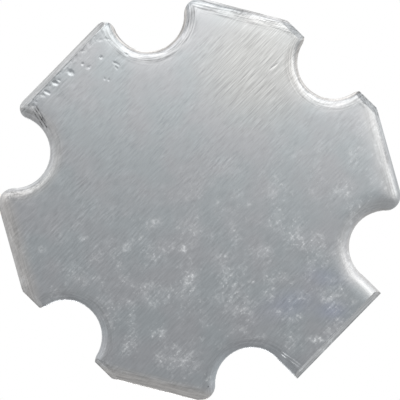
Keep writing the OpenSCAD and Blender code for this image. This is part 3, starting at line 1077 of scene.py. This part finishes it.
@dataclass
class Emitter:
    """The LED package: slug, housing, leads, solder, chip, wires, phosphor and the clear dome."""

    dome_r: float = 2.75
    dome_z: float = 4.63
    flange_r: float = 3.195
    ledge_z: float = 4.13
    cavity_r: float = 2.6
    floor_z: float = 3.48
    overlap: float = 0.02
    crease: float = 40.0
    dome_crease: float = 30.0
    housing_edge: float = 0.07
    lead_edge: float = 0.025
    dome_steps: int = 28
    turn_steps: int = 96

    def build(self) -> list[Piece]:
        """Dresses the package and models its dome and solder joints.

        Returns:
            The new pieces.
        """
        finishes = {
            "slug_solder": SOLDER, "heat_slug": SILVER, "die_attach": ATTACH, "led_die": CRYSTAL,
            "anode_bond_wire": GOLD, "cathode_bond_wire": GOLD, "phosphor_fill": PHOSPHOR,
        }
        for node, finish in finishes.items():
            dress(node, finish)
        housing = self.rounded("package_body", "moulded_housing", HOUSING, self.housing_edge)
        leads = [
            self.rounded(f"{side.value}_lead", f"{side.value}_strip", SILVER, self.lead_edge)
            for side in Polarity]
        return [housing, self.dome()] + leads + [self.joint(side) for side in Polarity]

    def rounded(self, node: str, name: str, finish: Finish, radius: float) -> Piece:
        """Rounds the sharp edges of a solid, as moulding and stamping leave them.

        Args:
            node: CAD node that the piece stands for.
            name: Name of the piece.
            finish: Its material.
            radius: Width of the rounding in millimetres.

        Returns:
            The piece.
        """
        shape = merged_copy(node)
        sharp = [e for e in shape.edges if e.is_convex and is_sharp(e, self.crease)]
        round_edges(shape, sharp, radius)
        mark_creases(shape, self.crease)
        return add_piece(name, shape, finish, [node])

    def dome(self) -> Piece:
        """Spins the clear dome, its flange and the filling below it as one moulding.

        Returns:
            The dome, which stands for lens and filling.
        """
        line = [
            (0.0, self.floor_z - self.overlap), (self.cavity_r + self.overlap, self.floor_z - self.overlap),
            (self.cavity_r + self.overlap, self.ledge_z - self.overlap),
            (self.flange_r, self.ledge_z - self.overlap), (self.flange_r, self.dome_z),
        ]
        for i in range(self.dome_steps + 1):
            angle = math.pi / 2 * i / self.dome_steps
            line.append((self.dome_r * math.cos(angle), self.dome_z + self.dome_r * math.sin(angle)))
        shape = bmesh.new()
        dots = [shape.verts.new((r * MM, 0, z * MM)) for r, z in line]
        rims = [shape.edges.new(pair) for pair in zip(dots, dots[1:])]
        bmesh.ops.spin(
            shape, geom=dots + rims, cent=(0, 0, 0), axis=(0, 0, 1), angle=2 * math.pi,
            steps=self.turn_steps, use_merge=True)
        bmesh.ops.remove_doubles(shape, verts=shape.verts, dist=WELD_MM * MM)
        bmesh.ops.recalc_face_normals(shape, faces=shape.faces)
        mark_creases(shape, self.dome_crease)
        return add_piece("clear_dome", shape, CLEAR, ["lens", "silicone_fill"])

    def joint(self, side: Polarity) -> Piece:
        """Smooths the solder bank of one lead.

        Args:
            side: The half.

        Returns:
            The solder joint.
        """
        shape = merged_copy(f"{side.value}_solder")
        mark_creases(shape, self.crease)
        return add_piece(f"{side.value}_joint", shape, SOLDER, [f"{side.value}_solder"])


@dataclass(frozen=True)
class Lamp:
    """A soft lamp: its place, what it points at, its width and height, its power and how it leans."""

    name: str
    place: tuple[float, float, float]
    aim: tuple[float, float, float]
    wide: float
    tall: float
    power: float
    colour: tuple[float, float, float] = (1.0, 1.0, 1.0)
    lean: float = 0.0

    def hang(self) -> None:
        """Adds the lamp to the scene."""
        data = bpy.data.lights.new(self.name, "AREA")
        data.shape = "RECTANGLE"
        data.size, data.size_y = self.wide * MM, self.tall * MM
        data.energy = self.power
        data.color = self.colour
        lamp = stand(self.name, data)
        back = (Vector(self.place) - Vector(self.aim)).normalized()
        right = PICTURE_UP.cross(back).normalized()
        turn = Matrix((right, back.cross(right), back)).transposed().to_4x4()
        lean = Matrix.Rotation(math.radians(self.lean), 4, "Z")
        lamp.matrix_world = Matrix.Translation(Vector(self.place) * MM) @ turn @ lean
        lamp.visible_camera = False


@dataclass
class Studio:
    """Floor, sky, lamps and camera."""

    frame_mm: float = 20.4
    distance_mm: float = 120.0
    sensor_mm: float = 36.0
    shift_right_mm: float = 0.021
    shift_up_mm: float = -0.0246
    floor_half_mm: float = 300.0
    floor_gap_mm: float = 0.02
    sky_low: float = 0.55
    sky_belt: float = 1.17
    sky_lean: float = 0.53
    sky_aside: float = 0.15
    sky_top: float = 0.8
    sky_soft: float = 0.62
    sky_colour: tuple[float, float, float, float] = (0.975, 0.985, 1.0, 1.0)
    warm_light: tuple[float, float, float] = (1.0, 0.975, 0.94)

    def build(self) -> None:
        """Sets up everything around the object."""
        bpy.context.scene.view_settings.view_transform = "Standard"
        self.floor()
        self.sky()
        key = PICTURE_RIGHT * 10 + PICTURE_UP * 40
        Lamp("back_key", (key.x, key.y, -30), (key.x, key.y, 0), 110, 64, 0.0423, self.warm_light, -13).hang()
        Lamp("front_key", (-60, 45, 115), (0, 0, 0), 70, 70, 0.055).hang()
        Lamp("front_fill", (60, -70, 75), (0, 0, 0), 60, 60, 0.014).hang()
        self.camera()

    def floor(self) -> None:
        """Lays the pale floor just under the object."""
        shape = bmesh.new()
        bmesh.ops.create_grid(shape, x_segments=4, y_segments=4, size=self.floor_half_mm * MM)
        bmesh.ops.translate(shape, verts=shape.verts, vec=(0, 0, -self.floor_gap_mm * MM))
        floor = stand("floor", make_mesh("floor", shape, FLOOR))
        floor.visible_diffuse = floor.visible_glossy = False
        floor.visible_transmission = floor.visible_shadow = False

    def sky(self) -> None:
        """Makes the surroundings: white to the eye and through glass, and a soft gradient on the object."""
        world = bpy.data.worlds.new("studio")
        bpy.context.scene.world = world
        world.use_nodes = True
        tree = world.node_tree
        tree.nodes.clear()
        weave = Weave(tree)
        way = add_node(tree, "ShaderNodeTexCoord").outputs["Generated"]
        bright = PICTURE_RIGHT * self.sky_aside + PICTURE_UP
        side = add_node(tree, "ShaderNodeVectorMath", {0: way, 1: bright}, operation="DOT_PRODUCT")
        height = add_node(tree, "ShaderNodeSeparateXYZ", {0: way}).outputs["Z"]
        # A belt round the horizon, brighter towards the top of the picture, over a darker nadir.
        belt = weave.add_product(side.outputs["Value"], self.sky_lean, self.sky_belt - self.sky_low)
        lower = weave.add_product(belt, weave.remap(height, (-1.0, -0.5)), self.sky_low)
        above = weave.remap(height, (0.75, 1.0), interpolation_type="SMOOTHSTEP")
        shiny = add_node(tree, "ShaderNodeMix", {0: above, 2: lower, 3: self.sky_top})
        ray = add_node(tree, "ShaderNodeLightPath")
        level = add_node(tree, "ShaderNodeMix", {
            0: ray.outputs["Is Glossy Ray"], 2: self.sky_soft, 3: shiny.outputs[0]})
        soft = add_node(tree, "ShaderNodeBackground", {
            "Color": self.sky_colour, "Strength": level.outputs[0]})
        white = add_node(tree, "ShaderNodeBackground", {"Color": (1, 1, 1, 1), "Strength": 1.0})
        seen = weave.maths("MAXIMUM", ray.outputs["Is Camera Ray"], ray.outputs["Is Transmission Ray"])
        mixed = add_node(tree, "ShaderNodeMixShader", {
            0: seen, 1: soft.outputs["Background"], 2: white.outputs["Background"]})
        add_node(tree, "ShaderNodeOutputWorld", {"Surface": mixed.outputs["Shader"]})

    def camera(self) -> None:
        """Puts the camera under the board, turned as the photograph is."""
        data = bpy.data.cameras.new("camera")
        data.sensor_width = self.sensor_mm
        data.lens = self.sensor_mm * self.distance_mm / self.frame_mm
        data.clip_start, data.clip_end = 0.001, 10.0
        camera = stand("camera", data)
        right, up = PICTURE_RIGHT.normalized(), PICTURE_UP.normalized()
        back = right.cross(up)
        place = (right * self.shift_right_mm + up * self.shift_up_mm + back * self.distance_mm) * MM
        turn = Matrix((right, up, back)).transposed().to_4x4()
        camera.matrix_world = Matrix.Translation(place) @ turn
        bpy.context.scene.camera = camera


# Notches and punched flats round the star; the other two flats are scored.
# Each row: turn, notch or flat, depth drawn down, share of drag lines, share of painted highlight on the rolled
# edge and share of darkening beside it (part painted shade, part dirt); some rows also give the reach of the
# drawn zone, a notch running straight out, and a painted highlight right at the rim.
EDGES = [
    PunchedEdge(0, True, 0.04, 0.3, 0.2, 0.2, painted_glint=1.0),
    PunchedEdge(60, True, 0.2, 0.12, 0.3, 0.05, run=True, painted_glint=0.6),
    PunchedEdge(120, True, 0.02, painted_sheen=0.0, grime=0.2, run=True),
    PunchedEdge(180, True, 0.02, painted_sheen=0.1, grime=0.2),
    PunchedEdge(240, True, 0.05, 0.2, 0.4),
    PunchedEdge(300, True, 0.05, 0.5, 0.1, 0.2, painted_glint=1.0),
    PunchedEdge(30, False, 0.1, 0.2, 0.3, 0.12, reach=1.5),
    PunchedEdge(150, False, 0.05, 0.28, 0.9),
    PunchedEdge(210, False, 0.12, 0.2, 0.8, 0.3, reach=1.4),
    PunchedEdge(330, False, 0.06, 0.55, 0.1, reach=1.3, painted_glint=0.5),
]
# Pits along the scored flat that faces the upper left of the photograph.
DENTS = [Dent(*row) for row in (
    (1.67, -8.66, 0.12, 0.1, 20, 0.018), (0.77, -9.11, 0.09, 0.08, 0, 0.018),
    (0.87, -8.76, 0.17, 0.09, 10, 0.013), (0.04, -9.23, 0.21, 0.16, 75, 0.032),
    (-0.90, -9.42, 0.2, 0.13, 65, 0.032), (-0.66, -9.36, 0.13, 0.07, 65, 0.015),
    (-1.52, -9.38, 0.22, 0.1, 75, 0.024), (-1.78, -9.44, 0.18, 0.1, 75, 0.013),
    (1.98, -7.88, 0.27, 0.08, 73, 0.013), (1.84, -7.74, 0.15, 0.06, 95, 0.013),
    (1.02, -7.76, 0.06, 0.06, 0, 0.013), (1.12, -7.59, 0.06, 0.06, 0, 0.013),
    (-2.52, -9.42, 0.14, 0.1, 30, 0.018), (-2.28, -9.46, 0.12, 0.07, 80, 0.013),
    (2.68, -7.85, 0.18, 0.06, 75, 0.018), (2.55, -9.1, 0.2, 0.06, 60, 0.013),
    (2.3, -9.3, 0.15, 0.07, 20, 0.013),
)]
# Scratches beside the scored flats, at two corners and on the brushed face.
SCRATCHES = [Scratch(*row) for row in (
    (-2.38, -9.42, -2.7, -8.3, 0.045, 0.02, 3.0), (-2.53, -9.42, -2.84, -8.05, 0.045, 0.02, 3.6),
    (-2.68, -9.35, -2.95, -8.2, 0.045, 0.015, 3.0), (-2.3, -9.64, 2.3, -9.65, 0.05, 0.03, 0.8),
    (-2.5, -9.55, -0.5, -9.57, 0.05, 0.015, 0.8), (-2.0, -9.48, 0.4, -9.5, 0.04, 0.01, 0.6),
    (0.2, -9.56, 2.4, -9.55, 0.05, 0.012, 0.6), (1.2, -9.47, 2.5, -9.44, 0.04, 0.012),
    (-2.74, 8.3, -2.52, 9.6, 0.06, 0.05), (-2.6, 8.34, -2.38, 9.6, 0.06, 0.045),
    (7.2, -2.08, 7.85, -1.98, 0.05, 0.03), (7.0, -2.2, 7.5, -2.13, 0.04, 0.012),
)]
# Whitish oxide marks, mostly in the lower half of the photograph.
BLOOMS = [Bloom(*row) for row in (
    (-5.54, -2.83, 0.16, 0.09, 20, 0.9), (-7.44, -3.97, 0.24, 0.18, 30, 0.5),
    (-2.45, -0.84, 0.45, 0.3, 30, 0.35), (-2.36, 1.23, 0.22, 0.14, 100, 0.65),
    (-3.1, 2.38, 0.22, 0.16, 20, 0.6), (-4.33, -1.0, 0.75, 0.25, 0, 0.32),
    (-5.45, 1.95, 0.3, 0.45, 0, 0.38), (-4.9, 1.3, 0.25, 0.35, 0, 0.3),
    (-7.21, 4.25, 0.28, 0.4, 40, 0.5), (-6.54, -0.85, 0.1, 0.1, 0, 0.5),
    (-7.83, -1.88, 0.12, 0.1, 0, 0.4), (-1.13, 4.83, 0.14, 0.1, 45, 0.8),
    (0.26, 6.33, 0.1, 0.07, 45, 0.8), (-1.93, 4.6, 0.16, 0.12, 0, 0.4),
    (-1.3, 6.85, 0.4, 0.16, 45, 0.5), (-0.66, 7.8, 0.2, 0.14, 60, 0.7),
    (0.82, 8.07, 0.28, 0.22, 120, 0.5), (1.78, 9.28, 0.2, 0.12, 0, 0.6),
    (0.52, 9.3, 0.22, 0.12, 0, 0.5), (-3.25, 6.18, 0.1, 0.08, 0, 0.7),
    (-2.75, 7.12, 0.3, 0.15, 45, 0.3), (-0.93, 9.28, 0.5, 0.18, 45, 0.75),
    (-1.15, 9.79, 0.3, 0.1, 0, 0.5), (-1.92, 9.81, 0.3, 0.1, 0, 0.4),
    (1.58, 1.96, 0.2, 0.1, 0, 0.4), (0.54, 0.75, 0.2, 0.1, 0, 0.35),
    (-1.2, 2.9, 0.7, 0.4, 45, 0.2), (-2.9, 4.2, 0.5, 0.3, 30, 0.25),
    (2.9, 5.6, 0.5, 0.25, 60, 0.25), (0.2, 4.1, 0.6, 0.35, 20, 0.2),
    (7.72, -0.35, 0.25, 0.12, 100, 0.6), (7.8, 0.4, 0.3, 0.12, 80, 0.6),
    (8.2, 1.2, 0.35, 0.14, 50, 0.6), (8.8, 1.85, 0.3, 0.12, 25, 0.5),
    (8.0, -1.0, 0.25, 0.12, 120, 0.4), (2.85, -8.2, 0.35, 0.12, 100, 0.5),
    (3.1, -7.35, 0.35, 0.14, 70, 0.55), (3.75, -6.7, 0.35, 0.14, 30, 0.45),
    (7.9, 5.2, 0.4, 0.14, -60, 0.45), (8.3, 4.5, 0.4, 0.14, -60, 0.35),
    (-2.93, -8.14, 0.9, 0.25, 100, 0.25),
)]
# Bluish tarnish near the lower right flat of the photograph.
STAINS = [Bloom(*row) for row in (
    (0.67, 8.79, 0.9, 0.55, 45, 0.5), (-0.6, 7.0, 1.6, 0.8, 30, 0.35),
    (1.6, 7.3, 1.2, 0.6, 60, 0.3),
)]
# Dark patches, part dirt and part painted shade, at the dented end of the upper left flat, beside the left
# notch and along the top and right flats.
DIRT_AND_SHADE = [Bloom(*row) for row in (
    (-2.78, -9.5, 0.4, 0.4, 0, 0.25), (-4.97, -6.39, 0.45, 0.2, 2, 0.6),
    (-5.62, -6.51, 0.45, 0.2, 20, 0.9), (-6.19, -6.83, 0.45, 0.2, 38, 0.9),
    (8.44, 4.87, 2.2, 0.14, 120, 0.7), (8.49, -4.9, 2.2, 0.14, 60, 0.3),
    (8.31, -4.8, 2.2, 0.3, 60, 0.3), (2.75, 8.11, 0.9, 0.18, 100, 0.5),
    (7.7, 0.0, 0.6, 0.16, 90, 0.35), (7.98, 1.05, 0.6, 0.16, 60, 0.4),
    (7.98, -1.05, 0.6, 0.16, 120, 0.35), (9.33, 2.55, 0.14, 0.45, 0, 1.0),
    (9.33, -2.55, 0.14, 0.45, 0, 0.8), (-9.4, 2.5, 0.1, 0.6, 0, 0.9),
    (-6.47, -7.07, 0.35, 0.35, 0, 0.6),
)]


def main() -> None:
    """Builds the sub-assemblies in order, then the studio."""
    logging.basicConfig(level=logging.INFO, format="%(name)s: %(message)s")
    StarPlate(edges=EDGES, dents=DENTS, scratches=SCRATCHES, blooms=BLOOMS, stains=STAINS, dirt_and_shade_patches=DIRT_AND_SHADE).build()
    Laminate().build()
    Emitter().build()
    Studio().build()


if __name__ == "__main__":
    main()
